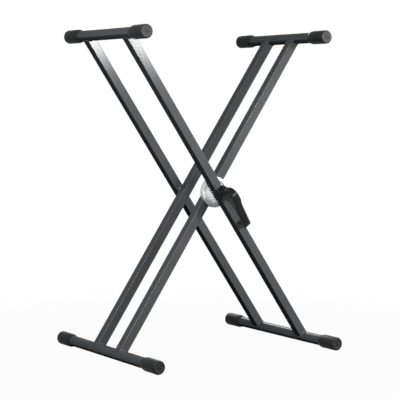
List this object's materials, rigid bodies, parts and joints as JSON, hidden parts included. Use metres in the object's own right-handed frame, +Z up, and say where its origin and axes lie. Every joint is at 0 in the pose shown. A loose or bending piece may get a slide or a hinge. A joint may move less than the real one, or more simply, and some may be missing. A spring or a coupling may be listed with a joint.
{
  "type": "keyboard stand",
  "caption": "Folding X-shaped keyboard stand of square and round steel tube, with rubber end caps, a toothed index disc at the pivot and a sprung trigger handle that frees its lock.",
  "frame": {"origin": "on the floor, midway between the four feet, under the pivot line", "axes": "+Z up, +Y along the bars and the pivot line towards the rear, +X across the stand towards the upper end of the inner frame"},
  "size_m": [0.653, 0.548, 0.9335],
  "materials": {
    "frame_paint": "semi-gloss charcoal paint",
    "cap_rubber": "matt black moulded rubber",
    "trigger_plastic": "satin black moulded plastic",
    "cast_aluminium": "bright cast aluminium",
    "plated_steel": "zinc-plated steel",
    "bearing_nylon": "natural nylon"
  },
  "bodies": {
    "outer_frame": {"outer_leg_front": "frame_paint", "outer_leg_rear": "frame_paint", "outer_top_bar": "frame_paint", "outer_foot_bar": "frame_paint", "outer_top_cap_front": "cap_rubber", "outer_top_cap_rear": "cap_rubber", "outer_foot_cap_front": "cap_rubber", "outer_foot_cap_rear": "cap_rubber", "outer_weld_beads": "frame_paint", "front_pivot_bolt": "plated_steel", "front_bolt_washer": "plated_steel", "front_pivot_bush": "plated_steel", "front_thrust_washer": "bearing_nylon", "rear_pivot_sleeve": "bearing_nylon", "rear_pivot_spacer": "plated_steel", "trigger_bracket": "trigger_plastic", "bracket_screws": "plated_steel", "trigger_pin": "plated_steel", "return_spring": "plated_steel"},
    "inner_frame": {"inner_leg_front": "frame_paint", "inner_leg_rear": "frame_paint", "inner_top_bar": "frame_paint", "inner_foot_bar": "frame_paint", "inner_top_cap_front": "cap_rubber", "inner_top_cap_rear": "cap_rubber", "inner_foot_cap_front": "cap_rubber", "inner_foot_cap_rear": "cap_rubber", "inner_weld_beads": "frame_paint", "front_pivot_sleeve": "bearing_nylon", "index_disc": "cast_aluminium", "disc_screws": "plated_steel", "rear_pivot_bolt": "plated_steel", "rear_bolt_washer": "plated_steel", "rear_nut_washer": "plated_steel", "rear_pivot_nut": "plated_steel"},
    "trigger": {"trigger_handle": "trigger_plastic", "link_pin": "plated_steel"},
    "lock_pawl": {"lock_pawl": "plated_steel"}
  },
  "joints": [
    {"name": "fold", "type": "hinge", "parent": "outer_frame", "child": "inner_frame", "pos_m": [0, 0, 0.46675], "axis": [0, 1, 0], "range_deg": [-64, 42]},
    {"name": "trigger_pull", "type": "hinge", "parent": "outer_frame", "child": "trigger", "pos_m": [-0.00509, -0.132, 0.47417], "axis": [-0.8244, 0, -0.566], "range_deg": [0, 7], "stiffness_Nm_per_rad": 1.2, "springref_deg": -20.05},
    {"name": "pawl_slide", "type": "slide", "parent": "outer_frame", "child": "lock_pawl", "axis": [0, -1, 0], "range_m": [0, 0.00269], "deforming": ["return_spring"]}
  ],
  "couplings": [
    {"joint": "pawl_slide", "follows": "trigger_pull", "m_per_rad": 0.022027}
  ]
}
